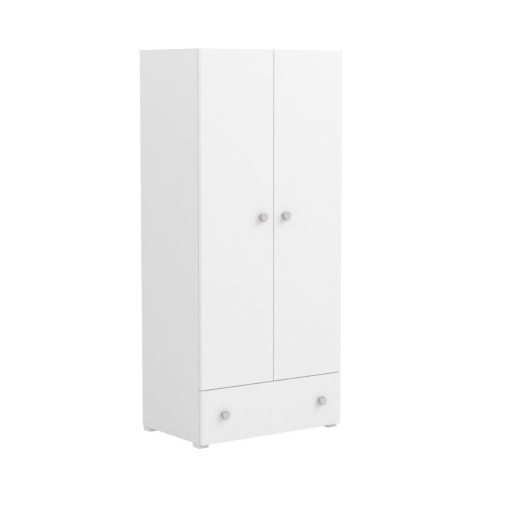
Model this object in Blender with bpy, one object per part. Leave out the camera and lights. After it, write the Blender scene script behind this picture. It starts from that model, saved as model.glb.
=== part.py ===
"""Wardrobe with two doors over one full-width drawer.

Metres, +Z up, doors facing -Y. The origin is the middle of the object's box on the floor, and the box counts
the knobs. Every board, fitting and moving piece is its own closed object, parented to the empty of its body.
"""

import math

import bmesh
import bpy
from mathutils import Matrix, Vector

# Driving dimensions
WIDTH = 0.800
HEIGHT = 1.800
DEPTH = 0.515  # from the back panel to the faces of the doors
BOARD = 0.018  # coated chipboard of the carcass
FRONT_BOARD = 0.022  # doors and drawer front
FRONT_GAP = 0.003  # between a closed front and the carcass
REVEAL = 0.003  # between neighbouring fronts
FOOT_HEIGHT = 0.020
FOOT_SIZE = 0.052
DRAWER_FRONT_HEIGHT = 0.2495
KNOB_REACH = 0.023
GAP = 0.0003  # left between pieces that touch
EDGE_ROUND = 0.001
THIN_EDGE_ROUND = 0.0008  # on the feet and the drawer box

# Fibreboard back in two halves, held together by an H-shaped strip
BACK_SHEET = 0.003
STRIP_FLANGE = 0.001
STRIP_WEB = 0.0015
STRIP_WIDTH = 0.020

# Faces that the other sizes are worked out from
X_SIDE = WIDTH / 2
X_INNER = X_SIDE - BOARD
Y_FRONT = KNOB_REACH - (DEPTH + KNOB_REACH) / 2
Y_FRONT_BACK = Y_FRONT + FRONT_BOARD
Y_CARCASS = Y_FRONT_BACK + FRONT_GAP
Y_REAR = Y_FRONT + DEPTH
Y_SHEET_REAR = Y_REAR - STRIP_FLANGE - GAP
Y_SIDE_REAR = Y_SHEET_REAR - BACK_SHEET - GAP
Y_SHELF_REAR = Y_SIDE_REAR - STRIP_FLANGE - GAP
Z_FLOOR_BOARD = FOOT_HEIGHT + BOARD
Z_TOP_BOARD = HEIGHT - BOARD
Z_DRAWER_TOP = FOOT_HEIGHT + DRAWER_FRONT_HEIGHT
Z_DOOR_LOW = Z_DRAWER_TOP + REVEAL
Z_DIVIDER = (Z_DRAWER_TOP + Z_DOOR_LOW - BOARD) / 2
Z_HAT_SHELF = 1.470
Z_RAIL = 1.415
Z_DOOR_MIDDLE = (Z_DOOR_LOW + HEIGHT) / 2

# Oval clothes rail in open-topped holders
RAIL_HALF_WIDTH = 0.0075
RAIL_HALF_HEIGHT = 0.015
RAIL_WALL = 0.0012
HOLDER_HALF_WIDTH = 0.0155
HOLDER_HALF_HEIGHT = 0.0260
HOLDER_PLATE = 0.0022
HOLDER_COLLAR = 0.012
HOLDER_CHEEK = 0.0022

# Concealed hinges. Places are (inward from the side's outer face, back from the carcass's front edge).
HINGE_INSET = 0.100
HINGE_HEIGHTS = {"top": HEIGHT - HINGE_INSET, "middle": Z_DOOR_MIDDLE, "bottom": Z_DOOR_LOW + HINGE_INSET}
ARM_PIN = (0.035, 0.0)
CUP_PIN = (0.014, -0.0094)
LINK_BOW = 0.0084
LINK_THICK = 0.0026
LINK_WIDE = 0.008
PIN_RADIUS = 0.0012
PIN_HOLE = 0.0016
EYE_RADIUS = 0.0027
ARM_WIDE = 0.014
ARM_OFF_SIDE = (0.0036, 0.0098)  # underside and top of the arm over the side's inner face
ARM_TAIL = 0.060
PLATE_THICK = 0.003
WING_THICK = 0.0022
FORK_SLOT = 0.0088
CUP_CENTRE = 0.0225  # a 35 mm cup bored 5 mm in from the door's edge
CUP_RADIUS = 0.0175
CUP_BORE = 0.0165
CUP_DEPTH = 0.0125
CUP_FLOOR = 0.001
CUP_RIM = 0.0004  # how far the cup's wall stands past the flange's underside, low enough for the link
CUP_FLANGE = (0.024, 0.050, 0.0012)

# Drawer box and its three-part slides
DRAWER_BOARD = 0.012
DRAWER_BOX_LOW = 0.062
DRAWER_BOX_HEIGHT = 0.155
DRAWER_BOX_DEPTH = 0.450
DRAWER_SHEET = 0.003
SLIDE_SPACE = 0.0127
SLIDE_LENGTH = 0.450
SLIDE_STEEL = 0.0012
SLIDE_BACK = 0.002  # from the carcass's front edge
Z_SLIDE = 0.115

# Heart-shaped knobs
HEART_LOBE = 0.0106
HEART_LOBE_X = 0.0098
HEART_LOBE_Z = 0.0075
HEART_FLANK = 0.036  # radius of the bulging flanks
HEART_TIP = 0.0032
HEART_TIP_Z = -0.0160
HEAD_THICK = 0.017
HEAD_ROUND = 0.0016
KNOB_FOOT = 0.0100
KNOB_NECK = 0.0080
DOOR_KNOB_FROM_MIDDLE = 0.065
DRAWER_KNOB_FROM_SIDE = 0.121
Z_DRAWER_KNOB = FOOT_HEIGHT + DRAWER_FRONT_HEIGHT / 2


def clear_scene():
    for old in list(bpy.data.objects):
        bpy.data.objects.remove(old, do_unlink=True)


def make_material(name, colour, roughness, metallic=0.0):
    material = bpy.data.materials.new(name)
    material.use_nodes = True
    shader = material.node_tree.nodes["Principled BSDF"]
    shader.inputs["Base Color"].default_value = (*colour, 1.0)
    shader.inputs["Roughness"].default_value = roughness
    shader.inputs["Metallic"].default_value = metallic
    return material


def make_body(name, x=0.0, y=0.0, z=0.0):
    """The empty that stands for one moving body, on its joint's axis."""
    body = bpy.data.objects.new(name, None)
    body.location = (x, y, z)
    bpy.context.scene.collection.objects.link(body)
    return body


def add_piece(name, mesh, material, body, place, turned=False):
    """An object of this mesh at a place in the room; turned swaps it onto the other side of the wardrobe."""
    piece = bpy.data.objects.new(name, mesh)
    bpy.context.scene.collection.objects.link(piece)
    if not mesh.materials:
        mesh.materials.append(material)
    piece.parent = body
    piece.location = Vector(place) - body.location
    if turned:
        piece.rotation_euler = (0.0, math.pi, 0.0)
    return piece


def mesh_of(name, bm):
    bmesh.ops.recalc_face_normals(bm, faces=bm.faces)
    mesh = bpy.data.meshes.new(name)
    bm.to_mesh(mesh)
    bm.free()
    return mesh


def box_mesh(name, sx, sy, sz):
    bm = bmesh.new()
    bmesh.ops.create_cube(bm, size=1.0, matrix=Matrix.Diagonal((sx, sy, sz, 1.0)))
    return mesh_of(name, bm)


def along(axis, a, b, depth):
    """A point of an outline in the plane across axis, and its place along it."""
    return {"X": (depth, a, b), "Y": (a, depth, b), "Z": (a, b, depth)}[axis]


def prism_mesh(name, outline, low, high, axis):
    """A closed outline drawn out from low to high along an axis."""
    bm = bmesh.new()
    rings = [[bm.verts.new(along(axis, a, b, end)) for a, b in outline] for end in (low, high)]
    bm.faces.new(rings[0])
    bm.faces.new(rings[1])
    join_rings(bm, rings[0], rings[1])
    return mesh_of(name, bm)


def tube_mesh(name, outer, inner, low, high, axis):
    """A pipe between two outlines with the same number of points."""
    bm = bmesh.new()
    outside = [[bm.verts.new(along(axis, a, b, end)) for a, b in outer] for end in (low, high)]
    inside = [[bm.verts.new(along(axis, a, b, end)) for a, b in inner] for end in (low, high)]
    join_rings(bm, outside[0], outside[1])
    join_rings(bm, inside[0], inside[1])
    join_rings(bm, outside[0], inside[0])
    join_rings(bm, outside[1], inside[1])
    return mesh_of(name, bm)


def turned_mesh(name, profile, segments):
    """A profile of (radius, y) points turned about the Y axis; it starts and ends on the axis."""
    bm = bmesh.new()
    rings = []
    for radius, y in profile:
        if radius == 0.0:
            rings.append([bm.verts.new((0.0, y, 0.0))])
            continue
        angles = [2.0 * math.pi * i / segments for i in range(segments)]
        rings.append([bm.verts.new((radius * math.cos(a), y, radius * math.sin(a))) for a in angles])
    for near, far in zip(rings, rings[1:]):
        join_rings(bm, near, far)
    mesh = mesh_of(name, bm)
    mesh.shade_smooth()
    mesh.set_sharp_from_angle(angle=math.radians(40))
    return mesh


def join_rings(bm, near, far):
    count = max(len(near), len(far))
    for i in range(count):
        j = (i + 1) % count
        if len(near) == 1:
            bm.faces.new((near[0], far[j], far[i]))
        elif len(far) == 1:
            bm.faces.new((near[i], near[j], far[0]))
        else:
            bm.faces.new((near[i], near[j], far[j], far[i]))


def arc(centre, radius, start, end, steps):
    """Points of an arc, from one angle in degrees to another."""
    points = []
    for i in range(steps + 1):
        angle = math.radians(start + (end - start) * i / steps)
        points.append((centre[0] + radius * math.cos(angle), centre[1] + radius * math.sin(angle)))
    return points


def circle(centre, radius, steps):
    return arc(centre, radius, 0.0, 360.0 * (steps - 1) / steps, steps - 1)


def helper(name, mesh):
    """A cutter or an added shape, left out of the object."""
    shape = bpy.data.objects.new(name, mesh)
    bpy.context.scene.collection.objects.link(shape)
    shape.hide_render = True
    shape.display_type = "WIRE"
    return shape


def combined_mesh(name, base, *steps):
    """base with each (operation, mesh) of steps done to it, as one mesh for several copies."""
    blank = helper(name + "_blank", base)
    shapes = [blank]
    for index, (operation, mesh) in enumerate(steps):
        shape = helper(name + "_shape", mesh)
        shapes.append(shape)
        step = blank.modifiers.new("step_" + str(index), "BOOLEAN")
        step.operation = operation
        step.solver = "EXACT"
        step.object = shape
    graph = bpy.context.evaluated_depsgraph_get()
    mesh = bpy.data.meshes.new_from_object(blank.evaluated_get(graph))
    mesh.name = name
    mesh.materials.clear()
    for shape in shapes:
        bpy.data.objects.remove(shape, do_unlink=True)
    mesh.set_sharp_from_angle(angle=math.radians(40))
    return mesh


def round_edges(piece, width, segments=2, angle=40.0):
    bevel = piece.modifiers.new("rounded_edges", "BEVEL")
    bevel.width = width
    bevel.segments = segments
    bevel.limit_method = "ANGLE"
    bevel.angle_limit = math.radians(angle)
    return bevel


def add_board(name, low, high, material, body, edge=EDGE_ROUND):
    """A board between two corners, with lightly rounded edges."""
    size = [b - a for a, b in zip(low, high)]
    middle = [(a + b) / 2 for a, b in zip(low, high)]
    board = add_piece(name, box_mesh(name, *size), material, body, middle)
    if edge > 0.0:
        round_edges(board, edge)
    return board


def build_carcass(body, board, sheet, plastic):
    """Two sides with the top, floor, divider and hat shelf between them, and the nailed-on back."""
    for side, sign in (("left", -1), ("right", 1)):
        edges = sorted((sign * X_SIDE, sign * X_INNER))
        low = (edges[0], Y_CARCASS, FOOT_HEIGHT)
        high = (edges[1], Y_SIDE_REAR, HEIGHT)
        add_board(side + "_side_panel", low, high, board, body)
    across = X_INNER - GAP
    levels = (
        ("bottom_panel", FOOT_HEIGHT, 0.0),
        ("divider_shelf", Z_DIVIDER, 0.0),
        ("hat_shelf", Z_HAT_SHELF, 0.006),
        ("top_panel", Z_TOP_BOARD, 0.0),
    )
    for name, z, set_back in levels:
        low = (-across, Y_CARCASS + set_back, z)
        high = (across, Y_SHELF_REAR, z + BOARD)
        add_board(name, low, high, board, body)
    outer = X_SIDE - 0.0015
    inner = STRIP_WEB / 2 + GAP
    for side, sign in (("left", -1), ("right", 1)):
        edges = sorted((sign * outer, sign * inner))
        low = (edges[0], Y_SHEET_REAR - BACK_SHEET, FOOT_HEIGHT + 0.002)
        high = (edges[1], Y_SHEET_REAR, HEIGHT - 0.002)
        add_board("back_panel_" + side, low, high, sheet, body, edge=0.0)
    build_joining_strip(body, plastic)


def build_joining_strip(body, plastic):
    """H-shaped strip that the two back halves slide into; it runs between the floor and top boards."""
    rear = Y_REAR
    front = Y_SIDE_REAR - STRIP_FLANGE
    half, web = STRIP_WIDTH / 2, STRIP_WEB / 2
    outline = [(-half, rear), (-half, rear - STRIP_FLANGE), (-web, rear - STRIP_FLANGE)]
    outline += [(-web, front + STRIP_FLANGE), (-half, front + STRIP_FLANGE), (-half, front)]
    outline += [(-x, y) for x, y in reversed(outline)]
    middle = (Z_FLOOR_BOARD + Z_TOP_BOARD) / 2
    reach = (Z_TOP_BOARD - Z_FLOOR_BOARD) / 2 - 0.001
    mesh = prism_mesh("back_joining_strip", outline, -reach, reach, "Z")
    add_piece("back_joining_strip", mesh, plastic, body, (0.0, 0.0, middle))


def build_feet(body, board):
    """Square blocks screwed under the corners; the rear pair stands a little in from the back."""
    inset = 0.001
    for end, y_low in (("front", Y_CARCASS + inset), ("rear", Y_SIDE_REAR - 0.006 - FOOT_SIZE)):
        for side, sign in (("left", -1), ("right", 1)):
            edges = sorted((sign * (X_SIDE - inset), sign * (X_SIDE - inset - FOOT_SIZE)))
            low = (edges[0], y_low, 0.0)
            high = (edges[1], y_low + FOOT_SIZE, FOOT_HEIGHT - GAP)
            add_board("foot_" + end + "_" + side, low, high, board, body, edge=THIN_EDGE_ROUND)


def stadium(half_width, half_height, steps):
    """An upright oval with round ends, in the plane across the rail."""
    rise = half_height - half_width
    return arc((0.0, rise), half_width, 0.0, 180.0, steps) + arc((0.0, -rise), half_width, 180.0, 360.0, steps)


def build_rail(body, metal):
    """Oval steel tube for hangers, dropped into an open-topped holder screwed to each side."""
    y_middle = (Y_CARCASS + Y_SHELF_REAR) / 2
    reach = X_INNER - GAP - HOLDER_PLATE - GAP
    outer = stadium(RAIL_HALF_WIDTH, RAIL_HALF_HEIGHT, 8)
    inner = stadium(RAIL_HALF_WIDTH - RAIL_WALL, RAIL_HALF_HEIGHT - RAIL_WALL, 8)
    tube = tube_mesh("clothes_rail", outer, inner, -reach, reach, "X")
    tube.shade_smooth()
    tube.set_sharp_from_angle(angle=math.radians(40))
    add_piece("clothes_rail", tube, metal, body, (0.0, y_middle, Z_RAIL))
    slot = RAIL_HALF_WIDTH + GAP
    cheek = slot + HOLDER_CHEEK
    rise = RAIL_HALF_HEIGHT - RAIL_HALF_WIDTH
    cradle = arc((0.0, -rise), cheek, 180.0, 360.0, 10) + [(cheek, rise), (slot, rise)]
    cradle += arc((0.0, -rise), slot, 360.0, 180.0, 10) + [(-slot, rise), (-cheek, rise)]
    base = prism_mesh("rail_base", stadium(HOLDER_HALF_WIDTH, HOLDER_HALF_HEIGHT, 10), 0.0, HOLDER_PLATE, "X")
    rim = prism_mesh("rail_rim", cradle, HOLDER_PLATE / 2, HOLDER_PLATE + HOLDER_COLLAR, "X")
    holder = combined_mesh("rail_holder", base, ("UNION", rim))
    add_piece("rail_holder_left", holder, metal, body, (-X_INNER + GAP, y_middle, Z_RAIL))
    right = add_piece("rail_holder_right", holder, metal, body, (X_INNER - GAP, y_middle, Z_RAIL))
    right.rotation_euler = (0.0, 0.0, math.pi)


def link_outline():
    """The bowed link seen from above, from the arm's pin to the cup's pin, with a round eye at each end."""
    start, end = Vector(ARM_PIN), Vector(CUP_PIN)
    chord = end - start
    across = Vector((-chord.y, chord.x)).normalized()
    steps = 10
    centre_line = []
    for i in range(steps + 1):
        t = i / steps
        centre_line.append(start + chord * t + across * (LINK_BOW * 4.0 * t * (1.0 - t)))
    left, right = [], []
    for i in range(steps + 1):
        run = (centre_line[min(i + 1, steps)] - centre_line[max(i - 1, 0)]).normalized()
        side = Vector((-run.y, run.x)) * LINK_THICK / 2
        left.append(centre_line[i] + side)
        right.append(centre_line[i] - side)
    return [tuple(p) for p in left + list(reversed(right))]


def hinge_link_mesh():
    half = LINK_WIDE / 2
    blade = prism_mesh("link_blade", link_outline(), -half, half, "Z")
    steps = []
    for pin in (ARM_PIN, CUP_PIN):
        steps.append(("UNION", prism_mesh("link_eye", circle(pin, EYE_RADIUS, 16), -half, half, "Z")))
    for pin in (ARM_PIN, CUP_PIN):
        steps.append(("DIFFERENCE", prism_mesh("link_hole", circle(pin, PIN_HOLE, 12), -half * 2, half * 2, "Z")))
    return combined_mesh("hinge_link", blade, *steps)


def hinge_arm_mesh():
    """Pressed arm: it lies along the side, cranks out to the pin, and is slotted there for the link."""
    half = ARM_WIDE / 2
    low_u, high_u = (BOARD + off for off in ARM_OFF_SIDE)
    run = (Vector(ARM_PIN) - Vector((0.0247, 0.0160))).normalized()
    nose = math.degrees(math.atan2(run.y, run.x))
    tip = arc(ARM_PIN, EYE_RADIUS, nose - 90.0, nose + 90.0, 8)
    outline = [(high_u, ARM_TAIL), (low_u, ARM_TAIL), (low_u, 0.0155)] + tip + [(high_u, 0.0145)]
    blank = prism_mesh("arm_blank", outline, -half, half, "Z")
    slot_outline = [(0.0230, 0.0100), (0.0230, -0.0100), (0.0450, -0.0100), (0.0450, 0.0100)]
    slot = prism_mesh("arm_slot", slot_outline, -FORK_SLOT / 2, FORK_SLOT / 2, "Z")
    pin = prism_mesh("arm_pin", circle(ARM_PIN, PIN_RADIUS, 12), -half + 0.0005, half - 0.0005, "Z")
    return combined_mesh("hinge_arm", blank, ("DIFFERENCE", slot), ("UNION", pin))


def hinge_plate_mesh():
    """Cross-shaped mounting plate: a raised saddle under the arm, with a screwed wing above and below."""
    low_u = BOARD + GAP
    top_u = low_u + PLATE_THICK
    wing_u = low_u + WING_THICK
    saddle = [(low_u, 0.022), (low_u, 0.062), (top_u, 0.062), (top_u, 0.022)]
    base = prism_mesh("plate_saddle", saddle, -0.0095, 0.0095, "Z")
    wing = [(low_u, 0.028), (low_u, 0.046), (wing_u, 0.045), (wing_u, 0.029)]
    wings = prism_mesh("plate_wings", wing, -0.024, 0.024, "Z")
    return combined_mesh("hinge_plate", base, ("UNION", wings))


def hinge_cup_mesh():
    """Drawn steel cup sunk in the door, with its screw flange on the door's inner face and the link's pin."""
    face = -FRONT_GAP + GAP  # the flange's underside
    rim = face + CUP_RIM
    floor = -FRONT_GAP - CUP_DEPTH
    wide, tall, thick = CUP_FLANGE
    flange = box_mesh("cup_flange", wide, thick, tall)
    flange.transform(Matrix.Translation((0.0, face + thick / 2, 0.0)))
    body = turned_mesh("cup_body", [(0.0, floor), (CUP_RADIUS, floor), (CUP_RADIUS, rim), (0.0, rim)], 28)
    hollow = [(0.0, floor + CUP_FLOOR), (CUP_BORE, floor + CUP_FLOOR), (CUP_BORE, 0.010), (0.0, 0.010)]
    bore = turned_mesh("cup_hollow", hollow, 28)
    pin_place = (CUP_PIN[0] - CUP_CENTRE, CUP_PIN[1])
    reach = math.sqrt(CUP_BORE**2 - pin_place[0] ** 2) + 0.0002
    pin = prism_mesh("cup_pin", circle(pin_place, PIN_RADIUS, 12), -reach, reach, "Z")
    steps = (("UNION", body), ("DIFFERENCE", bore), ("UNION", pin))
    return combined_mesh("hinge_cup", flange, *steps)


def build_hinges(bodies, steel):
    """Three concealed hinges a door: plate and arm on the side, link between the pins, cup in the door."""
    plate, arm = hinge_plate_mesh(), hinge_arm_mesh()
    link, cup = hinge_link_mesh(), hinge_cup_mesh()
    for side, sign in (("left", -1), ("right", 1)):
        turned = side == "right"
        corner = sign * X_SIDE
        for level, z in HINGE_HEIGHTS.items():
            tail = "_" + side + "_" + level
            edge = (corner, Y_CARCASS, z)
            add_piece("hinge_plate" + tail, plate, steel, bodies["carcass"], edge, turned)
            add_piece("hinge_arm" + tail, arm, steel, bodies["carcass"], edge, turned)
            add_piece("hinge_link" + tail, link, steel, bodies[side + "_links"], edge, turned)
            centre = (corner - sign * CUP_CENTRE, Y_CARCASS, z)
            add_piece("hinge_cup" + tail, cup, steel, bodies[side + "_door"], centre, turned)


def build_doors(bodies, board):
    """Two overlay doors over the whole front above the drawer, bored for the hinge cups."""
    pocket_depth = CUP_DEPTH + GAP
    radius = CUP_RADIUS + GAP
    profile = [(0.0, -pocket_depth), (radius, -pocket_depth), (radius, 0.004), (0.0, 0.004)]
    pocket = turned_mesh("cup_pocket", profile, 28)
    for side, sign in (("left", -1), ("right", 1)):
        edges = sorted((sign * X_SIDE, sign * REVEAL / 2))
        low = (edges[0], Y_FRONT, Z_DOOR_LOW)
        high = (edges[1], Y_FRONT_BACK, HEIGHT)
        body = bodies[side + "_door"]
        door = add_board(side + "_door_panel", low, high, board, body)
        for level, z in HINGE_HEIGHTS.items():
            cutter = helper("pocket_" + side + "_" + level, pocket)
            cutter.location = (sign * (X_SIDE - CUP_CENTRE), Y_FRONT_BACK, z)
            bore = door.modifiers.new("bore_" + level, "BOOLEAN")
            bore.operation = "DIFFERENCE"
            bore.solver = "EXACT"
            bore.object = cutter


def flank_centre(lobe, tip):
    """Centre of the flank's arc, which touches the lobe's circle and the tip's from outside."""
    to_lobe = HEART_FLANK - HEART_LOBE
    to_tip = HEART_FLANK - HEART_TIP
    chord = tip - lobe
    reach = (to_lobe**2 - to_tip**2 + chord.length_squared) / (2.0 * chord.length)
    rise = math.sqrt(to_lobe**2 - reach**2)
    run = chord.normalized()
    return lobe + run * reach + Vector((run.y, -run.x)) * rise


def heart_outline():
    """Two round lobes, gently bulging flanks and a small round tip."""
    lobe = Vector((HEART_LOBE_X, HEART_LOBE_Z))
    tip = Vector((0.0, HEART_TIP_Z))
    centre = flank_centre(lobe, tip)
    upper = math.degrees(math.atan2(*(lobe - centre).yx))
    lower = math.degrees(math.atan2(*(tip - centre).yx))
    notch = math.degrees(math.acos(-HEART_LOBE_X / HEART_LOBE))
    right = arc(lobe, HEART_LOBE, notch, upper, 12)
    right += arc(centre, HEART_FLANK, upper, lower, 5)[1:]
    right += arc(tip, HEART_TIP, lower, -90.0, 3)[1:]
    left = [(-x, z) for x, z in reversed(right[1:-1])]
    return right + left


def knob_mesh():
    """Lacquered wooden heart on a short round foot."""
    head_back = -(KNOB_REACH - HEAD_THICK)
    head = prism_mesh("knob_head", heart_outline(), -KNOB_REACH, head_back, "Y")
    rounded = helper("knob_rounded", head)
    round_edges(rounded, HEAD_ROUND, segments=3, angle=60.0)
    graph = bpy.context.evaluated_depsgraph_get()
    head = bpy.data.meshes.new_from_object(rounded.evaluated_get(graph))
    bpy.data.objects.remove(rounded, do_unlink=True)
    inside_head = head_back - HEAD_THICK / 2
    profile = [(0.0, -GAP), (KNOB_FOOT, -GAP), (KNOB_FOOT, -0.0020), (KNOB_NECK, -0.0040)]
    profile += [(KNOB_NECK, inside_head), (0.0, inside_head)]
    foot = turned_mesh("knob_foot", profile, 24)
    mesh = combined_mesh("heart_knob", head, ("UNION", foot))
    mesh.shade_smooth()
    mesh.set_sharp_from_angle(angle=math.radians(40))
    return mesh


def build_knobs(bodies, lacquer):
    knob = knob_mesh()
    x_drawer = X_SIDE - DRAWER_KNOB_FROM_SIDE
    for side, sign in (("left", -1), ("right", 1)):
        door_place = (sign * DOOR_KNOB_FROM_MIDDLE, Y_FRONT, Z_DOOR_MIDDLE)
        add_piece(side + "_door_knob", knob, lacquer, bodies[side + "_door"], door_place)
        drawer_place = (sign * x_drawer, Y_FRONT, Z_DRAWER_KNOB)
        add_piece("drawer_knob_" + side, knob, lacquer, bodies["drawer"], drawer_place)


def build_drawer(body, board, sheet):
    """Full-width front on a box of two sides and a back, with a fibreboard bottom nailed under them."""
    low = (-X_SIDE, Y_FRONT, FOOT_HEIGHT)
    high = (X_SIDE, Y_FRONT_BACK, Z_DRAWER_TOP)
    add_board("drawer_front", low, high, board, body)
    outside = X_INNER - SLIDE_SPACE
    inside = outside - DRAWER_BOARD
    box_front = Y_FRONT_BACK + GAP
    box_rear = box_front + DRAWER_BOX_DEPTH
    top = DRAWER_BOX_LOW + DRAWER_BOX_HEIGHT
    for side, sign in (("left", -1), ("right", 1)):
        edges = sorted((sign * outside, sign * inside))
        low, high = (edges[0], box_front, DRAWER_BOX_LOW), (edges[1], box_rear, top)
        add_board("drawer_side_" + side, low, high, board, body, edge=THIN_EDGE_ROUND)
    reach = inside - GAP
    low, high = (-reach, box_rear - DRAWER_BOARD, DRAWER_BOX_LOW), (reach, box_rear, top)
    add_board("drawer_back", low, high, board, body, edge=THIN_EDGE_ROUND)
    under = DRAWER_BOX_LOW - GAP
    low, high = (-outside + 0.001, box_front, under - DRAWER_SHEET), (outside - 0.001, box_rear, under)
    add_board("drawer_bottom", low, high, sheet, body, edge=0.0)


def channel_outline(web, open_side, half_height):
    """A C-shaped section in the plane across the slide; the web stands at web and the lips reach open_side."""
    step = SLIDE_STEEL if open_side > web else -SLIDE_STEEL
    inner = half_height - SLIDE_STEEL
    outline = [(web, -half_height), (open_side, -half_height), (open_side, -inner), (web + step, -inner)]
    return outline + [(x, -z) for x, z in reversed(outline)]


def build_slides(bodies, steel):
    """Ball-bearing slides: one channel on the side, one on the drawer, and one running between them."""
    sections = (
        ("slide_outer_", "carcass", channel_outline(GAP, 0.0096, 0.0225), SLIDE_LENGTH),
        ("slide_middle_", "slide_middles", channel_outline(0.0032, 0.0108, 0.0180), SLIDE_LENGTH - 0.02),
        ("slide_inner_", "drawer", channel_outline(SLIDE_SPACE - GAP, 0.0056, 0.0135), SLIDE_LENGTH),
    )
    y_front = Y_CARCASS + SLIDE_BACK
    for name, body, outline, length in sections:
        mesh = prism_mesh(name + "channel", outline, 0.0, length, "Y")
        add_piece(name + "left", mesh, steel, bodies[body], (-X_INNER, y_front, Z_SLIDE))
        add_piece(name + "right", mesh, steel, bodies[body], (X_INNER, y_front, Z_SLIDE), turned=True)


def build():
    clear_scene()
    white_board = make_material("white_board", (0.86, 0.86, 0.87), 0.42)
    white_sheet = make_material("white_sheet", (0.80, 0.80, 0.80), 0.55)
    white_plastic = make_material("white_plastic", (0.82, 0.82, 0.82), 0.40)
    rose_lacquer = make_material("rose_lacquer", (0.62, 0.55, 0.57), 0.35)
    plated_steel = make_material("plated_steel", (0.62, 0.62, 0.64), 0.28, 1.0)
    zinc_steel = make_material("zinc_steel", (0.55, 0.56, 0.58), 0.38, 1.0)

    bodies = {"carcass": make_body("carcass"), "drawer": make_body("drawer")}
    bodies["slide_middles"] = make_body("slide_middles")
    for side, sign in (("left", -1), ("right", 1)):
        arm_x, cup_x = sign * (X_SIDE - ARM_PIN[0]), sign * (X_SIDE - CUP_PIN[0])
        bodies[side + "_links"] = make_body(side + "_links", arm_x, Y_CARCASS + ARM_PIN[1], 0.0)
        bodies[side + "_door"] = make_body(side + "_door", cup_x, Y_CARCASS + CUP_PIN[1], 0.0)

    build_carcass(bodies["carcass"], white_board, white_sheet, white_plastic)
    build_feet(bodies["carcass"], white_board)
    build_rail(bodies["carcass"], plated_steel)
    build_doors(bodies, white_board)
    build_hinges(bodies, plated_steel)
    build_knobs(bodies, rose_lacquer)
    build_drawer(bodies["drawer"], white_board, white_sheet)
    build_slides(bodies, zinc_steel)


build()
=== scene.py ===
import math

import bmesh
import bpy
from mathutils import Matrix, Vector


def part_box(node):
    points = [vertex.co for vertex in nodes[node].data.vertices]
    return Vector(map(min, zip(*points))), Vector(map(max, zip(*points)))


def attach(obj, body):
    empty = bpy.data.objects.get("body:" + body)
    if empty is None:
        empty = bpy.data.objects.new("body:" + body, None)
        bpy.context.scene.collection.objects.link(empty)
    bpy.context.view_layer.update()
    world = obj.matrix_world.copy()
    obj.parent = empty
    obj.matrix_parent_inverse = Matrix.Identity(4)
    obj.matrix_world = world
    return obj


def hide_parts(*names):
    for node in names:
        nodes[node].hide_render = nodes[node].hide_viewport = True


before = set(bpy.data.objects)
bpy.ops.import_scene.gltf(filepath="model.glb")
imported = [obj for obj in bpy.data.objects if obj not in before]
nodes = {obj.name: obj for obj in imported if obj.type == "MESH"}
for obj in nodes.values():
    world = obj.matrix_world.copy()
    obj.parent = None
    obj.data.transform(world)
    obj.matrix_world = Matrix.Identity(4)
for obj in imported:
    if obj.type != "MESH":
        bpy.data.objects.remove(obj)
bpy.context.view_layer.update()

scene = bpy.context.scene
scene.view_settings.view_transform = "Standard"


# Camera: a little under the height of the wardrobe's top, off its left front corner and looking
# slightly down. The long lens keeps the uprights nearly parallel.
CAMERA_PLACE = (-4.1826, -5.9274, 1.6480)
CAMERA_TURN = 35.756
CAMERA_DIP = 6.460
CAMERA_LENS = 107.77

camera_data = bpy.data.cameras.new("studio_camera")
camera_data.lens = CAMERA_LENS
camera_data.sensor_width = 36.0
camera_data.clip_end = 100.0
camera = bpy.data.objects.new("studio_camera", camera_data)
camera.location = CAMERA_PLACE
camera.rotation_euler = (math.radians(90.0 - CAMERA_DIP), 0.0, math.radians(-CAMERA_TURN))
scene.collection.objects.link(camera)
scene.camera = camera


# Studio: a white surround and a softly lit paper floor that runs out into it. A large key stands high
# on the right, a small softbox high on the left grades the side, and a low card fills the shadows.
def linear(hex_colour):
    """An sRGB hex colour as linear red, green and blue, with full alpha."""
    parts = [int(hex_colour[i : i + 2], 16) / 255.0 for i in (1, 3, 5)]
    return tuple(p / 12.92 if p <= 0.04045 else ((p + 0.055) / 1.055) ** 2.4 for p in parts) + (1.0,)


def add_node(tree, kind, settings=None, links=None):
    """Adds a node. settings are its attributes or its inputs' values; links feed inputs from outputs."""
    node = tree.nodes.new(kind)
    for key, value in (settings or {}).items():
        if isinstance(key, str) and hasattr(node, key):
            setattr(node, key, value)
        else:
            node.inputs[key].default_value = value
    for key, output in (links or {}).items():
        tree.links.new(output, node.inputs[key])
    return node


AMBIENT = 0.80
SURROUND_SEEN = 1.03
FLOOR_SEEN = 1.06
FLOOR_GLOW_SHARE = 0.90
FLOOR_GLOW_UNSEEN = 0.34
SOFTBOXES = (  # name, place, aim, side in metres, watts
    ("key_softbox", (3.3, -3.2, 4.2), (0.2, -0.2, 1.5), 3.6, 122.0),
    ("left_softbox", (-2.6, -0.3, 3.9), (-0.4, 0.0, 1.6), 1.4, 27.0),
    ("low_fill_card", (-2.4, -4.2, 0.4), (-0.1, -0.25, 0.6), 1.4, 27.0),
)

world = bpy.data.worlds.new("white_surround")
world.use_nodes = True
sky = world.node_tree
sky.nodes.clear()
path = add_node(sky, "ShaderNodeLightPath")
strengths = {"To Min": AMBIENT, "To Max": SURROUND_SEEN}
seen = add_node(sky, "ShaderNodeMapRange", strengths, {"Value": path.outputs["Is Camera Ray"]})
white = {"Color": linear("#FFFFFF")}
glow = add_node(sky, "ShaderNodeBackground", white, {"Strength": seen.outputs["Result"]})
add_node(sky, "ShaderNodeOutputWorld", links={"Surface": glow.outputs["Background"]})
scene.world = world

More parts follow.
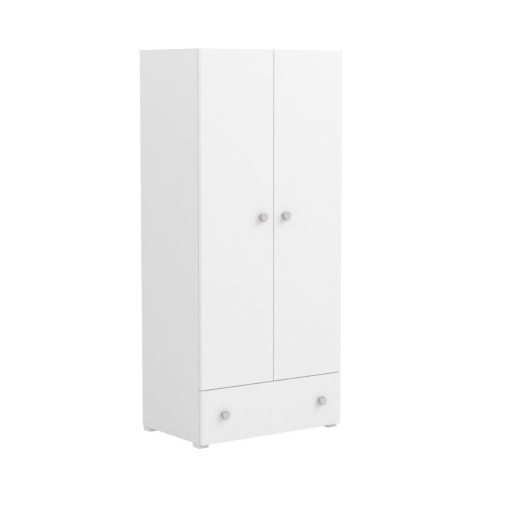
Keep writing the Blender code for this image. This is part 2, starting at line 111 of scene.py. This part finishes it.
floor_mesh = bpy.data.meshes.new("studio_floor")
floor_bm = bmesh.new()
bmesh.ops.create_grid(floor_bm, x_segments=1, y_segments=1, size=40.0)
floor_bm.to_mesh(floor_mesh)
floor_bm.free()
floor = bpy.data.objects.new("studio_floor", floor_mesh)
floor.location.z = -0.0005
scene.collection.objects.link(floor)
floor_paper = bpy.data.materials.new("pale_paper_floor")
floor_paper.use_nodes = True
paper = floor_paper.node_tree
paper.nodes.clear()
matt = add_node(paper, "ShaderNodeBsdfDiffuse", {"Color": linear("#D8D8D8")})
lit = add_node(paper, "ShaderNodeEmission", {"Strength": FLOOR_SEEN, **white})
ray = add_node(paper, "ShaderNodeLightPath")
shares = {"To Min": FLOOR_GLOW_UNSEEN, "To Max": FLOOR_GLOW_SHARE}
share = add_node(paper, "ShaderNodeMapRange", shares, {"Value": ray.outputs["Is Camera Ray"]})
layers = {0: share.outputs[0], 1: matt.outputs[0], 2: lit.outputs[0]}
mixed = add_node(paper, "ShaderNodeMixShader", links=layers)
add_node(paper, "ShaderNodeOutputMaterial", links={"Surface": mixed.outputs[0]})
floor_mesh.materials.append(floor_paper)

for name, place, target, size, watts in SOFTBOXES:
    light_data = bpy.data.lights.new(name, "AREA")
    light_data.shape = "SQUARE"
    light_data.size = size
    light_data.energy = watts
    light = bpy.data.objects.new(name, light_data)
    light.location = place
    light.rotation_euler = (Vector(target) - Vector(place)).to_track_quat("-Z", "Y").to_euler()
    scene.collection.objects.link(light)


# Carcass boards: 18 mm chipboard faced with white melamine paper, cut square and edged with 1 mm banding.
# The hot press leaves a fine pearl grain, so the white has a soft even sheen with very slight clouding.
BOARD_CLOUDING = (0.1111, 0.1111, 0.1111, 3.0)
PEARL_GRAIN = (0.0012, 0.0012, 0.0012, 2.0)  # twice the size of the real grain, which would not show


def new_finish(name, tone, sheen, relief=None, **shader_values):
    """A material whose tone, sheen and relief each follow a pattern.

    tone is (pattern, colour, colour), sheen is (pattern, lowest, highest) and relief is (pattern,
    strength, depth). A pattern is its patch size in metres along x, y and z, and its detail.
    """
    material = bpy.data.materials.new(name)
    material.use_nodes = True
    tree = material.node_tree
    shader = tree.nodes["Principled BSDF"]
    for key, value in shader_values.items():
        shader.inputs[key.replace("_", " ")].default_value = value
    place = add_node(tree, "ShaderNodeTexCoord")
    factors = {}
    for pattern in dict.fromkeys(part[0] for part in (tone, sheen, relief) if part):
        scales = {"Scale": [1.0 / size for size in pattern[:3]]}
        spread = add_node(tree, "ShaderNodeMapping", scales, {"Vector": place.outputs["Object"]})
        cells = {"Scale": 1.0, "Detail": pattern[3]}
        noise = add_node(tree, "ShaderNodeTexNoise", cells, {"Vector": spread.outputs["Vector"]})
        factors[pattern] = noise.outputs["Fac"]
    tones = {"Color1": linear(tone[1]), "Color2": linear(tone[2])}
    mix = add_node(tree, "ShaderNodeMixRGB", tones, {"Fac": factors[tone[0]]})
    tree.links.new(mix.outputs["Color"], shader.inputs["Base Color"])
    ends = {"To Min": sheen[1], "To Max": sheen[2]}
    gloss = add_node(tree, "ShaderNodeMapRange", ends, {"Value": factors[sheen[0]]})
    tree.links.new(gloss.outputs["Result"], shader.inputs["Roughness"])
    if relief:
        heights = {"Strength": relief[1], "Distance": relief[2]}
        bump = add_node(tree, "ShaderNodeBump", heights, {"Height": factors[relief[0]]})
        tree.links.new(bump.outputs["Normal"], shader.inputs["Normal"])
    return material


def finish_nodes(names, material):
    """Gives CAD nodes a real finish in place of the plain one that they came with."""
    for name in names:
        for held in nodes[name].material_slots:
            held.material = material


carcass_board = new_finish(
    "pressed_melamine_board",
    tone=(BOARD_CLOUDING, "#E1E1E2", "#DEDEDF"),
    sheen=(PEARL_GRAIN, 0.38, 0.48),
    relief=(PEARL_GRAIN, 0.15, 0.0002),
    IOR=1.50,
)
finish_nodes(("left_side_panel", "right_side_panel", "top_panel", "bottom_panel"), carcass_board)
finish_nodes(("divider_shelf", "hat_shelf"), carcass_board)


# Doors and drawer front: 22 mm fibreboard wrapped in a smooth white satin foil that rolls over the edges.
# The foil is a touch glossier than the carcass, with the slow waviness of a skin pressed on in a membrane.
FOIL_WAVE = (0.060, 0.060, 0.060, 2.0)
FOIL_PEEL = (0.003846, 0.003846, 0.003846, 1.0)  # twice the size of the real peel, which would not show

front_foil = new_finish(
    "satin_foil_on_fibreboard",
    tone=(FOIL_WAVE, "#E5E5E5", "#E3E3E3"),
    sheen=(FOIL_WAVE, 0.32, 0.38),
    relief=(FOIL_PEEL, 0.10, 0.0002),
    IOR=1.50,
)
finish_nodes(("left_door_panel", "right_door_panel", "drawer_front"), front_foil)


# Feet: solid blocks with a thin coat of white lacquer over primer, each held by two screws from below.
# The lacquer is flatter than the boards, and its brushed coat leaves a faint mottle.
COAT_MOTTLE = (0.002381, 0.002381, 0.002381, 2.0)

foot_lacquer = new_finish(
    "white_lacquered_block",
    tone=(COAT_MOTTLE, "#DEDEDE", "#DADADA"),
    sheen=(COAT_MOTTLE, 0.45, 0.55),
    relief=(COAT_MOTTLE, 0.12, 0.0002),
    IOR=1.50,
)
finish_nodes([name for name in nodes if name.startswith("foot_")], foot_lacquer)


# Back: 3 mm hardboard printed white, in two halves that slide into an extruded H-shaped strip and are
# nailed along the carcass edges. The sheet is flatter than the boards, with an upright fibrous grain.
FIBRE_GRAIN = (0.0025, 0.0025, 0.01111, 4.0)  # the real fibres are finer and would not show
FLOW_MARKS = (0.001429, 0.001429, 0.001429, 2.0)

hardboard = new_finish(
    "white_printed_hardboard",
    tone=(FIBRE_GRAIN, "#E7E7E5", "#E1E1DE"),
    sheen=(FIBRE_GRAIN, 0.55, 0.70),
    relief=(FIBRE_GRAIN, 0.20, 0.0002),
)
finish_nodes(("back_panel_left", "back_panel_right", "drawer_bottom"), hardboard)
strip_plastic = new_finish(
    "extruded_white_plastic",
    tone=(FLOW_MARKS, "#E4E4E2", "#E0E0DE"),
    sheen=(FLOW_MARKS, 0.33, 0.43),
    IOR=1.53,
)
finish_nodes(("back_joining_strip",), strip_plastic)


# Nails of the back: small round heads of plated wire, driven through the sheet into every carcass edge.
# They read as dull bright dots in a regular row, a touch proud of the sheet.
NAIL_HEAD = 0.0025
NAIL_RISE = 0.0009
NAIL_PITCH = 0.140
NAIL_INSET = 0.0105
NAIL_COLUMN_INSET = 0.009
DRAWN_STREAKS = (0.001111, 0.00625, 0.001111, 3.0)  # ten times the real ones, which would not show
HAIR = 0.0001  # keeps a head's underside off the face that it sits on


def join_rings(bm, near, far):
    """Faces between two rings; a ring of one point closes a round end."""
    count = max(len(near), len(far))
    for i in range(count):
        j = (i + 1) % count
        if len(near) == 1:
            bm.faces.new((near[0], far[j], far[i]))
        elif len(far) == 1:
            bm.faces.new((near[i], near[j], far[0]))
        else:
            bm.faces.new((near[i], near[j], far[j], far[i]))


def turned_bm(profile, segments):
    """A profile of (radius, height) points turned about Z; a radius of zero closes it on the axis."""
    bm = bmesh.new()
    rings = []
    for radius, height in profile:
        if radius == 0.0:
            rings.append([bm.verts.new((0.0, 0.0, height))])
            continue
        angles = [2.0 * math.pi * i / segments for i in range(segments)]
        rings.append([bm.verts.new((radius * math.cos(a), radius * math.sin(a), height)) for a in angles])
    for near, far in zip(rings, rings[1:]):
        join_rings(bm, near, far)
    bmesh.ops.recalc_face_normals(bm, faces=bm.faces)
    return bm


def finished_mesh(name, bm):
    """A mesh of this bmesh, smooth but for its sharp edges."""
    mesh = bpy.data.meshes.new(name)
    bm.to_mesh(mesh)
    bm.free()
    mesh.shade_smooth()
    mesh.set_sharp_from_angle(angle=math.radians(40.0))
    return mesh


def repeated_mesh(name, single, placings):
    """Copies of one small mesh at several placings, as one mesh of separate bodies."""
    bm = bmesh.new()
    for placing in placings:
        first = len(bm.verts)
        bm.from_mesh(single)
        bm.verts.ensure_lookup_table()
        bmesh.ops.transform(bm, matrix=placing, verts=bm.verts[first:])
    return finished_mesh(name, bm)


def add_piece(name, mesh, material, body):
    """A visible piece that rides on a body and has a slot of its own."""
    piece = bpy.data.objects.new(name, mesh)
    scene.collection.objects.link(piece)
    mesh.materials.clear()
    mesh.materials.append(material)
    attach(piece, body)
    return piece


def plated_steel(name, first, second, roughness):
    """Rolled or pressed steel under a bright plating, with fine drawn streaks in its shine."""
    sheen = (DRAWN_STREAKS, roughness - 0.06, roughness + 0.08)
    return new_finish(name, (DRAWN_STREAKS, first, second), sheen, Metallic=1.0)


zinc_steel = plated_steel("zinc_plated_steel", "#C9CBD0", "#B9BBC0", 0.34)
nail_profile = [
    (0.0, NAIL_RISE),
    (NAIL_HEAD * 0.5, NAIL_RISE * 0.92),
    (NAIL_HEAD * 0.9, NAIL_RISE * 0.6),
    (NAIL_HEAD, NAIL_RISE * 0.2),
    (NAIL_HEAD, 0.0),
    (0.0, 0.0),
]
nail_head = finished_mesh("nail_head", turned_bm(nail_profile, 14))
outward = Matrix.Rotation(math.radians(-90.0), 4, "X")
for side, inward in (("left", 1.0), ("right", -1.0)):
    low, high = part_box("back_panel_" + side)
    outer_x = low.x if side == "left" else high.x
    across = high.x - low.x - 2 * NAIL_INSET
    up = high.z - low.z - 2 * NAIL_INSET
    rows = round(up / NAIL_PITCH)
    columns = round(across / NAIL_PITCH)
    column_x = outer_x + inward * NAIL_COLUMN_INSET
    places = [(column_x, low.z + NAIL_INSET + up * i / rows) for i in range(rows + 1)]
    for board in ("bottom_panel", "divider_shelf", "hat_shelf", "top_panel"):
        board_low, board_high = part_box(board)
        board_z = (board_low.z + board_high.z) / 2
        for i in range(1, columns):
            places.append((outer_x + inward * (NAIL_INSET + across * i / columns), board_z))
    placings = [Matrix.Translation((x, high.y + HAIR, z)) @ outward for x, z in places]
    name = "back_nails_" + side
    add_piece(name, repeated_mesh(name, nail_head, placings), zinc_steel, "carcass")


# Knobs: thick hearts milled from hardwood on a short turned foot, sprayed in a dusty rose satin lacquer.
# The sanded face is pale and even; the rim all round it is painted a shade deeper, a painted shade that
# darkens the knob's sides.
HEART_LOBE = 0.0106
HEART_LOBE_X = 0.0098
HEART_LOBE_Z = 0.0075
HEART_FLANK = 0.036
HEART_TIP = 0.0032
HEART_TIP_Z = -0.0160
HEAD_THICK = 0.017
RIM_ROUND = 0.0016
FOOT_INTO_HEAD = 0.002
# The rim's deeper rose is painted shade, not a colour of the lacquer.
RIM_PAINTED_SHADE_ROSE = "#BAA9AD"
SPRAY_SPECKLE = (0.002632, 0.002632, 0.002632, 2.0)  # several times the real speckle, which would not show


def arc(centre, radius, start, end, steps):
    """Points of an arc, from one angle in degrees to another."""
    points = []
    for i in range(steps + 1):
        angle = math.radians(start + (end - start) * i / steps)
        points.append((centre[0] + radius * math.cos(angle), centre[1] + radius * math.sin(angle)))
    return points


def heart_outline():
    """Two round lobes, gently bulging flanks and a small round tip."""
    lobe = Vector((HEART_LOBE_X, HEART_LOBE_Z))
    tip = Vector((0.0, HEART_TIP_Z))
    to_lobe = HEART_FLANK - HEART_LOBE
    to_tip = HEART_FLANK - HEART_TIP
    chord = tip - lobe
    run = chord.normalized()
    reach = (to_lobe**2 - to_tip**2 + chord.length_squared) / (2.0 * chord.length)
    centre = lobe + run * reach + Vector((run.y, -run.x)) * math.sqrt(to_lobe**2 - reach**2)
    upper = math.degrees(math.atan2(*(lobe - centre).yx))
    lower = math.degrees(math.atan2(*(tip - centre).yx))
    notch = math.degrees(math.acos(-HEART_LOBE_X / HEART_LOBE))
    right = arc(lobe, HEART_LOBE, notch, upper, 36)
    right += arc(centre, HEART_FLANK, upper, lower, 12)[1:]
    right += arc(tip, HEART_TIP, lower, -90.0, 8)[1:]
    left = [(-x, z) for x, z in reversed(right[1:-1])]
    return right + left


def applied(name, base, kind, settings):
    """base as a mesh once one modifier is worked out."""
    rough = bpy.data.objects.new(name, base)
    scene.collection.objects.link(rough)
    step = rough.modifiers.new("step", kind)
    for key, value in settings.items():
        setattr(step, key, value)
    graph = bpy.context.evaluated_depsgraph_get()
    mesh = bpy.data.meshes.new_from_object(rough.evaluated_get(graph))
    bpy.data.objects.remove(rough, do_unlink=True)
    return mesh


def combined(name, base, operation, other_mesh, **settings):
    """base with another mesh joined to it or cut from it."""
    other = bpy.data.objects.new(name + "_other", other_mesh)
    scene.collection.objects.link(other)
    mesh = applied(name, base, "BOOLEAN", {"operation": operation, "object": other, **settings})
    bpy.data.objects.remove(other, do_unlink=True)
    return mesh


def knob_axis(node):
    """The x and z of a knob's own axis, read from its box."""
    low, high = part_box(node)
    return (low.x + high.x) / 2, low.z - HEART_TIP_Z + HEART_TIP


lacquer = new_finish(
    "dusty_rose_satin_lacquer",
    tone=(SPRAY_SPECKLE, "#CBC3C5", "#C7BFC1"),
    sheen=(SPRAY_SPECKLE, 0.34, 0.44),
    relief=(SPRAY_SPECKLE, 0.10, 0.0003),
    IOR=1.50,
    Coat_Weight=0.25,
    Coat_Roughness=0.18,
)
tree = lacquer.node_tree
tone_socket = tree.nodes["Principled BSDF"].inputs["Base Color"]
place = add_node(tree, "ShaderNodeTexCoord")
# Painted shade: where the surface turns away from the front, the tone blends to the deeper rose, darkening
# the knob's sides as shade would.
split = add_node(tree, "ShaderNodeSeparateXYZ", links={"Vector": place.outputs["Normal"]})
rim_shade_range = {"From Min": -0.90, "From Max": -0.40}
rim_painted_shade = add_node(tree, "ShaderNodeMapRange", rim_shade_range, {"Value": split.outputs["Y"]})
sources = {"Fac": rim_painted_shade.outputs["Result"], "Color1": tone_socket.links[0].from_socket}
rim_shaded_tone = add_node(tree, "ShaderNodeMixRGB", {"Color2": linear(RIM_PAINTED_SHADE_ROSE)}, sources)
tree.links.new(rim_shaded_tone.outputs["Color"], tone_socket)

knob_low, knob_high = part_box("left_door_knob")
reach = knob_high.y - knob_low.y
head_bm = bmesh.new()
outline = heart_outline()
front_ring = [head_bm.verts.new((x, 0.0, z)) for x, z in outline]
back_ring = [head_bm.verts.new((x, HEAD_THICK, z)) for x, z in outline]
head_bm.faces.new(front_ring)
head_bm.faces.new(back_ring)
join_rings(head_bm, front_ring, back_ring)
bmesh.ops.recalc_face_normals(head_bm, faces=head_bm.faces)
rounding = {"width": RIM_ROUND, "segments": 5, "limit_method": "ANGLE", "angle_limit": math.radians(60.0)}
head = applied("heart_head", finished_mesh("heart_head", head_bm), "BEVEL", rounding)
foot_profile = [
    (0.0, 0.0),
    (0.0096, 0.0),
    (0.0100, 0.0005),
    (0.0099, 0.0020),
    (0.0086, 0.0032),
    (0.0080, 0.0042),
    (0.0079, reach - HEAD_THICK + FOOT_INTO_HEAD),
    (0.0, reach - HEAD_THICK + FOOT_INTO_HEAD),
]
knob_foot = finished_mesh("knob_foot", turned_bm(foot_profile, 32))
knob_foot.transform(Matrix.Translation((0.0, reach, 0.0)) @ Matrix.Rotation(math.radians(90.0), 4, "X"))
heart_knob = combined("heart_knob", head, "UNION", knob_foot)
heart_knob.shade_smooth()
heart_knob.set_sharp_from_angle(angle=math.radians(35.0))
for node, body in (
    ("left_door_knob", "left_door"),
    ("right_door_knob", "right_door"),
    ("drawer_knob_left", "drawer"),
    ("drawer_knob_right", "drawer"),
):
    knob = add_piece("heart_" + node, heart_knob.copy(), lacquer, body)
    axis_x, axis_z = knob_axis(node)
    knob.location = (axis_x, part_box(node)[0].y, axis_z)
    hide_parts(node)


# Screws: case-hardened steel with a cross recess, a pale zinc plating and a slightly domed head.
# They hold the hinge plates, the cups, the rail holders, the slides and, from inside, the knobs.
SCREW_HEAD = 0.0036
SCREW_RISE = 0.0011
SCREW_SUNK = 0.0002
RECESS_LONG = 0.0042
RECESS_WIDE = 0.0009

screw_profile = [
    (0.0, SCREW_RISE),
    (SCREW_HEAD * 0.45, SCREW_RISE * 0.95),
    (SCREW_HEAD * 0.80, SCREW_RISE * 0.70),
    (SCREW_HEAD * 0.97, SCREW_RISE * 0.30),
    (SCREW_HEAD, 0.0),
    (SCREW_HEAD, -SCREW_SUNK),
    (0.0, -SCREW_SUNK),
]
screw_blank = finished_mesh("screw_blank", turned_bm(screw_profile, 20))
cross_bm = bmesh.new()
for turn in (0.0, 90.0):
    size = Matrix.Diagonal((RECESS_LONG, RECESS_WIDE, SCREW_RISE * 1.6, 1.0))
    lift = Matrix.Translation((0.0, 0.0, SCREW_RISE))
    spin = Matrix.Rotation(math.radians(turn), 4, "Z")
    bmesh.ops.create_cube(cross_bm, size=1.0, matrix=spin @ lift @ size)
cross_mesh = bpy.data.meshes.new("screw_recess")
cross_bm.to_mesh(cross_mesh)
cross_bm.free()
screw_head = combined("screw_head", screw_blank, "DIFFERENCE", cross_mesh, use_self=True)


def facing(place, direction, turn=0.0):
    """Placing that stands a part's own Z axis along a direction at a place."""
    aim = Vector(direction).to_track_quat("Z", "Y").to_matrix().to_4x4()
    return Matrix.Translation(place) @ aim @ Matrix.Rotation(math.radians(turn), 4, "Z")


def add_screws(name, placings, body):
    add_piece(name, repeated_mesh(name, screw_head, placings), zinc_steel, body)


# Hinges: pressed and nickel-plated steel, three to a door, screwed to the side and into the door.
# The plating has a warm grey mirror shine, softened by fine drawn lines.
WING_THICK = 0.0022
WING_SCREW_BACK = 0.015
WING_SCREW_RISE = 0.0172
ARM_THICK = 0.0062
ARM_SCREWS_FROM_TAIL = (0.020, 0.042)
FLANGE_SCREW_RISE = 0.0212
BEHIND = (0.0, 1.0, 0.0)

nickel_steel = plated_steel("nickel_plated_steel", "#D2CFC8", "#C4C1BA", 0.24)
finish_nodes([name for name in nodes if name.startswith("hinge_")], nickel_steel)
plate_screws = []
for side, sign in (("left", -1.0), ("right", 1.0)):
    inward = (-sign, 0.0, 0.0)
    cup_screws = []
    for level in ("top", "middle", "bottom"):
        low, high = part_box("hinge_plate_" + side + "_" + level)
        middle_z = (low.z + high.z) / 2
        wing_x = (low.x if side == "left" else high.x) - sign * WING_THICK
        for rise in (-WING_SCREW_RISE, WING_SCREW_RISE):
            place = (wing_x, low.y + WING_SCREW_BACK, middle_z + rise)
            plate_screws.append(facing(place, inward, 20.0 + rise * 900.0))
        low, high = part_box("hinge_arm_" + side + "_" + level)
        arm_x = (low.x if side == "left" else high.x) - sign * ARM_THICK
        for step in ARM_SCREWS_FROM_TAIL:
            plate_screws.append(facing((arm_x, high.y - step, middle_z), inward, 35.0 + step * 1000.0))
        low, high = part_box("hinge_cup_" + side + "_" + level)
        cup_x = (low.x + high.x) / 2
        for rise in (-FLANGE_SCREW_RISE, FLANGE_SCREW_RISE):
            cup_screws.append(facing((cup_x, high.y, middle_z + rise), BEHIND, 12.0 + rise * 700.0))
    inner_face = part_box(side + "_door_panel")[1].y
    axis_x, axis_z = knob_axis(side + "_door_knob")
    cup_screws.append(facing((axis_x, inner_face + 3 * HAIR, axis_z), BEHIND, 30.0))
    add_screws(side + "_door_screws", cup_screws, side + "_door")
add_screws("hinge_plate_screws", plate_screws, "carcass")


# Door buffers: soft plastic dots stuck inside each door's free corners, so that it closes without a knock.
# They read as small milky domes.
BUFFER_RADIUS = 0.0045
BUFFER_RISE = 0.0018
BUFFER_FROM_EDGE = 0.030
BUFFER_FROM_LOW = 0.004
BUFFER_FROM_TOP = 0.009

buffer_plastic = new_finish(
    "milky_soft_buffer",
    tone=(FLOW_MARKS, "#DDDEDD", "#D5D6D5"),
    sheen=(FLOW_MARKS, 0.25, 0.35),
    IOR=1.53,
)
buffer_profile = [(0.0, BUFFER_RISE)]
for i in range(1, 6):
    angle = math.radians(90.0 * i / 5)
    buffer_profile.append((BUFFER_RADIUS * math.sin(angle), BUFFER_RISE * math.cos(angle)))
buffer_profile.append((0.0, 0.0))
buffer_dome = finished_mesh("buffer_dome", turned_bm(buffer_profile, 20))
for side, sign in (("left", -1.0), ("right", 1.0)):
    low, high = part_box(side + "_door_panel")
    free_x = (high.x if side == "left" else low.x) + sign * BUFFER_FROM_EDGE
    heights = (low.z + BUFFER_FROM_LOW, high.z - BUFFER_FROM_TOP)
    placings = [facing((free_x, high.y + HAIR, z), BEHIND) for z in heights]
    name = side + "_door_buffers"
    buffers = repeated_mesh(name, buffer_dome, placings)
    add_piece(name, buffers, buffer_plastic, side + "_door")


# Clothes rail: thin oval steel tube, chromed to a mirror, lying in open-topped holders of die-cast zinc.
# Only its long highlights show against the white boards.
RAIL_ROUND_STEPS = 24
RAIL_WALL = 0.0012
HOLDER_PLATE = 0.0022
HOLDER_SCREW_FROM_TOP = 0.0065
HOLDER_SCREW_FROM_LOW = 0.0045

chrome = plated_steel("chromed_tube", "#DFE1E4", "#D6D8DC", 0.12)
low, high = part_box("clothes_rail")
half_width = (high.y - low.y) / 2
round_rise = (high.z - low.z) / 2 - half_width
rail_bm = bmesh.new()
rings = []
for x, wall in ((low.x, 0.0), (high.x, 0.0), (high.x, RAIL_WALL), (low.x, RAIL_WALL)):
    oval = arc((0.0, round_rise), half_width - wall, 0.0, 180.0, RAIL_ROUND_STEPS)
    oval += arc((0.0, -round_rise), half_width - wall, 180.0, 360.0, RAIL_ROUND_STEPS)
    rings.append([rail_bm.verts.new((x, y, z)) for y, z in oval])
for near, far in zip(rings, rings[1:] + rings[:1]):
    join_rings(rail_bm, near, far)
bmesh.ops.recalc_face_normals(rail_bm, faces=rail_bm.faces)
tube = finished_mesh("oval_clothes_rail", rail_bm)
rail = add_piece("oval_clothes_rail", tube, chrome, "carcass")
rail.location = (0.0, (low.y + high.y) / 2, (low.z + high.z) / 2)
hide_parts("clothes_rail")

holder_zinc = plated_steel("die_cast_zinc_holder", "#C7C8CA", "#BBBCBF", 0.30)
finish_nodes(("rail_holder_left", "rail_holder_right"), holder_zinc)
holder_screws = []
for side, sign in (("left", -1.0), ("right", 1.0)):
    low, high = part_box("rail_holder_" + side)
    face_x = (low.x if side == "left" else high.x) - sign * HOLDER_PLATE
    middle_y = (low.y + high.y) / 2
    for z, turn in ((high.z - HOLDER_SCREW_FROM_TOP, 25.0), (low.z + HOLDER_SCREW_FROM_LOW, 70.0)):
        holder_screws.append(facing((face_x, middle_y, z), (-sign, 0.0, 0.0), turn))
add_screws("rail_holder_screws", holder_screws, "carcass")


# Drawer box: 12 mm boards in the same white paper as the carcass, open at the top, on a hardboard bottom.
# The knobs of the drawer are screwed from behind the front.
finish_nodes(("drawer_side_left", "drawer_side_right", "drawer_back"), carcass_board)
drawer_screws = []
front_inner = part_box("drawer_front")[1].y
for side in ("left", "right"):
    axis_x, axis_z = knob_axis("drawer_knob_" + side)
    drawer_screws.append(facing((axis_x, front_inner + 2 * HAIR, axis_z), BEHIND, 15.0))


# Slides: rolled steel channels, zinc plated, with hardened balls running between their lips.
# The middle channel carries the ball rows; the channels on side and drawer are screwed on in three places.
BALL_RADIUS = 0.0015
BALL_STEP = 0.012
BALL_COUNT = 9
BALL_START = 0.015
SLIDE_STEEL = 0.0012
SLIDE_SCREW_SHARES = (0.09, 0.42, 0.90)  # of a channel's length
INNER_BALLS = (0.0082, 0.01515)  # off the side, and above or below the slide's middle
OUTER_BALLS = (0.0062, 0.01965)

finish_nodes([name for name in nodes if name.startswith("slide_")], zinc_steel)
fixed_screws = []
ball_bm = bmesh.new()
bmesh.ops.create_uvsphere(ball_bm, u_segments=12, v_segments=8, radius=BALL_RADIUS)
ball = finished_mesh("slide_ball", ball_bm)
for side, sign in (("left", -1.0), ("right", 1.0)):
    for part, screws, direction in (
        ("outer_", fixed_screws, -sign),
        ("inner_", drawer_screws, sign),
    ):
        low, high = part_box("slide_" + part + side)
        web_x = (low.x if direction > 0.0 else high.x) + direction * SLIDE_STEEL
        for share in SLIDE_SCREW_SHARES:
            place = (web_x, low.y + (high.y - low.y) * share, (low.z + high.z) / 2)
            screws.append(facing(place, (direction, 0.0, 0.0), 200.0 * share))
    low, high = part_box("slide_middle_" + side)
    panel_low, panel_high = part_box(side + "_side_panel")
    wall_x = panel_high.x if side == "left" else panel_low.x
    middle_z = (low.z + high.z) / 2
    placings = []
    for i in range(BALL_COUNT):
        run = BALL_START + BALL_STEP * i
        for y, (off, rise) in ((low.y + run, INNER_BALLS), (high.y - run, OUTER_BALLS)):
            for z in (middle_z - rise, middle_z + rise):
                placings.append(Matrix.Translation((wall_x - sign * off, y, z)))
    name = "slide_balls_" + side
    balls = repeated_mesh(name, ball, placings)
    add_piece(name, balls, zinc_steel, "slide_middles")
add_screws("slide_screws", fixed_screws, "carcass")
add_screws("drawer_screws", drawer_screws, "drawer")
